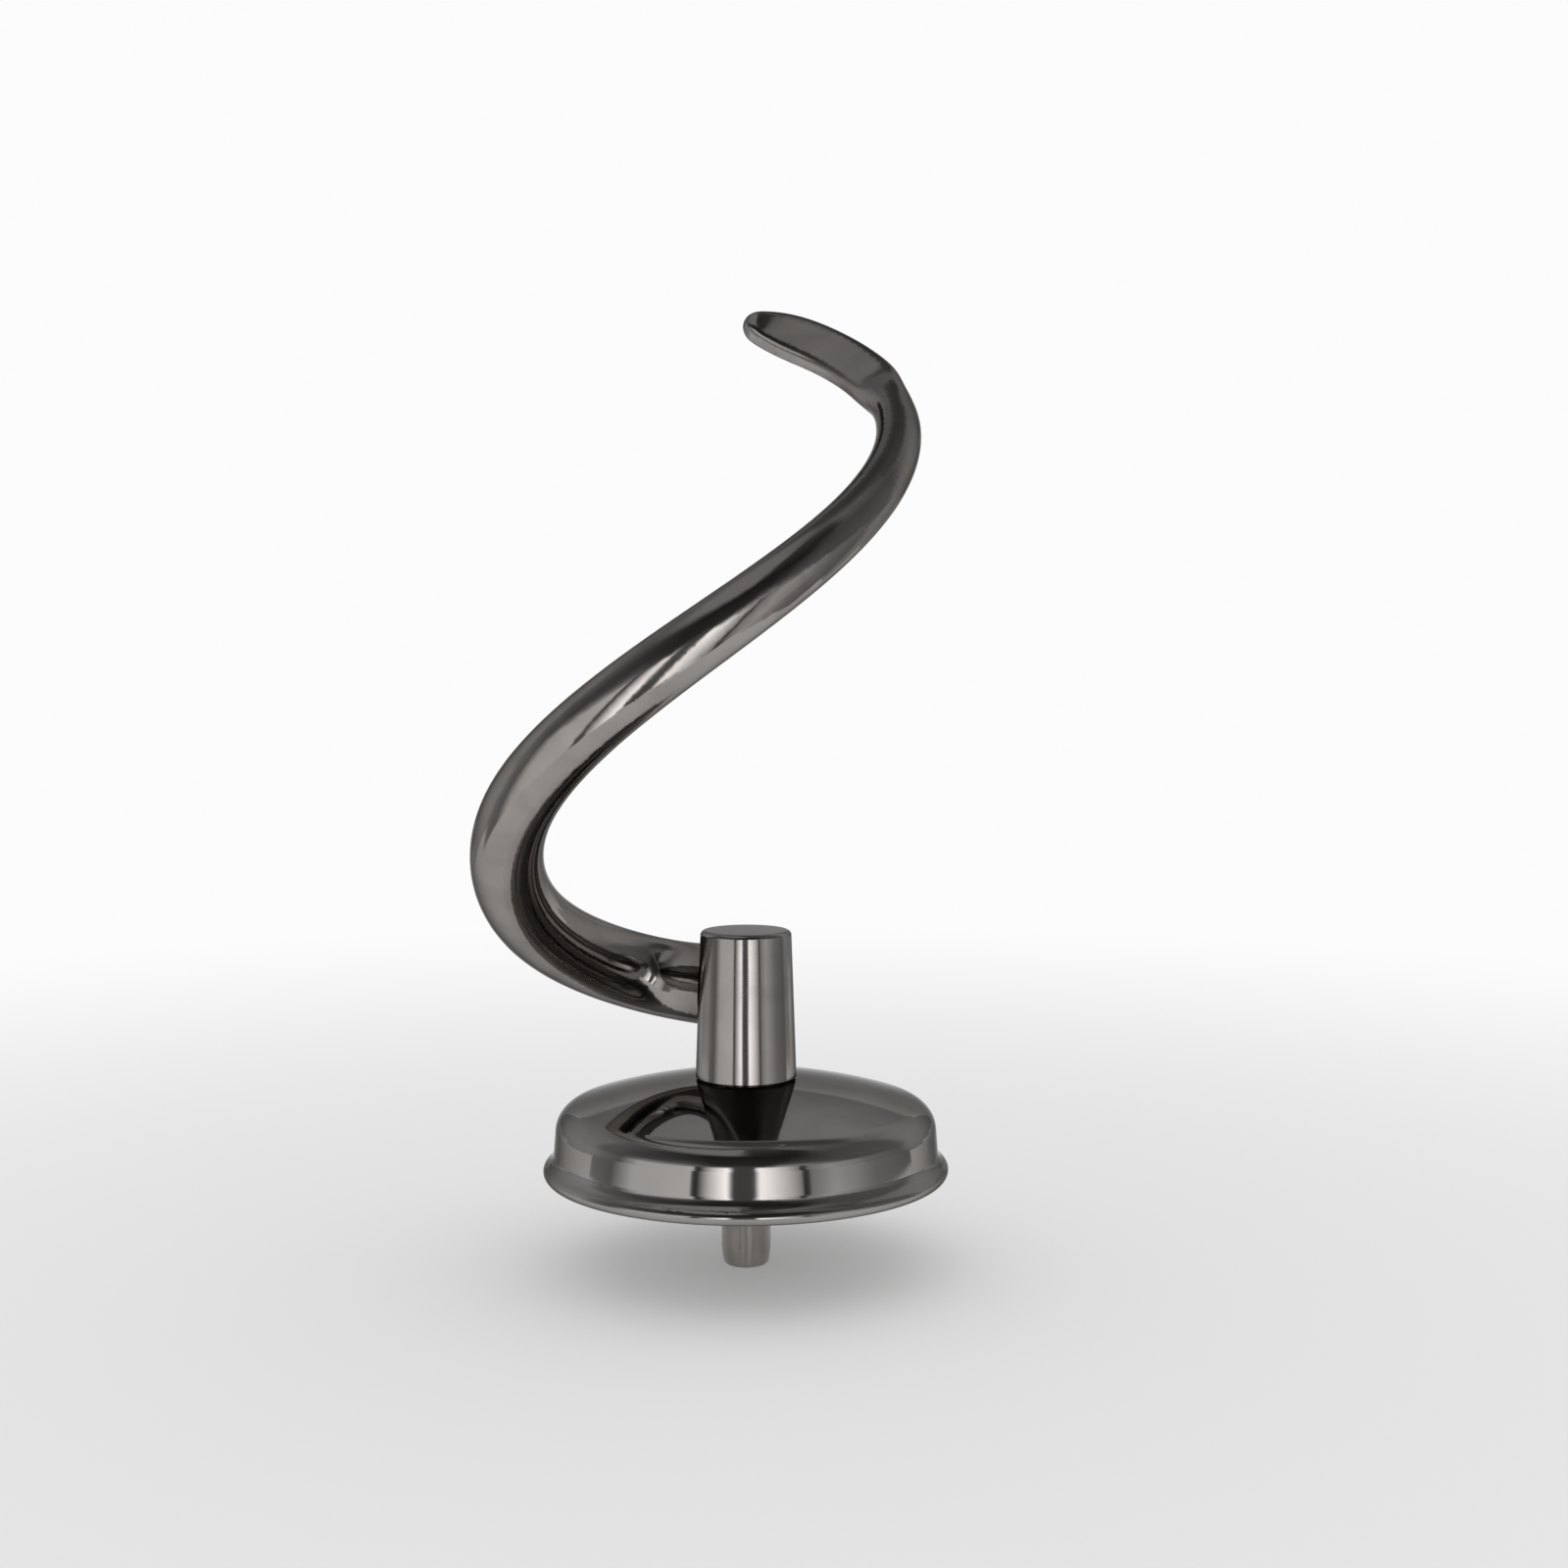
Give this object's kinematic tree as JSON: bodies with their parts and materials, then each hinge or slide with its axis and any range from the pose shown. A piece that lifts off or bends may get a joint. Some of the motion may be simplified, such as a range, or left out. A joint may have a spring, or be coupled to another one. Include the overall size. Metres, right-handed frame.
{
  "type": "stand mixer dough hook",
  "caption": "Polished steel dough hook for a stand mixer: a tapering spiral arm on a conical hub, a domed drip shield with a beaded lip, and a drive shaft with a cross pin.",
  "frame": {"origin": "on the drive shaft's axis, at the shoulder that stops the mixer's socket, level with the lip of the shield", "axes": "+Z from the shaft to the hook's tip along the shaft's axis, -Y towards the viewer of the picture, X along the cross pin"},
  "size_m": [0.0934, 0.0903, 0.195],
  "materials": {
    "polished_steel": "mirror polished stainless steel",
    "polished_sheet": "polished stainless sheet",
    "turned_steel": "turned stainless steel",
    "pin_steel": "ground steel"
  },
  "bodies": {
    "root": {"hook": "polished_steel", "shield": "polished_sheet", "drive_shaft": "turned_steel", "drive_pin": "pin_steel"}
  },
  "joints": []
}
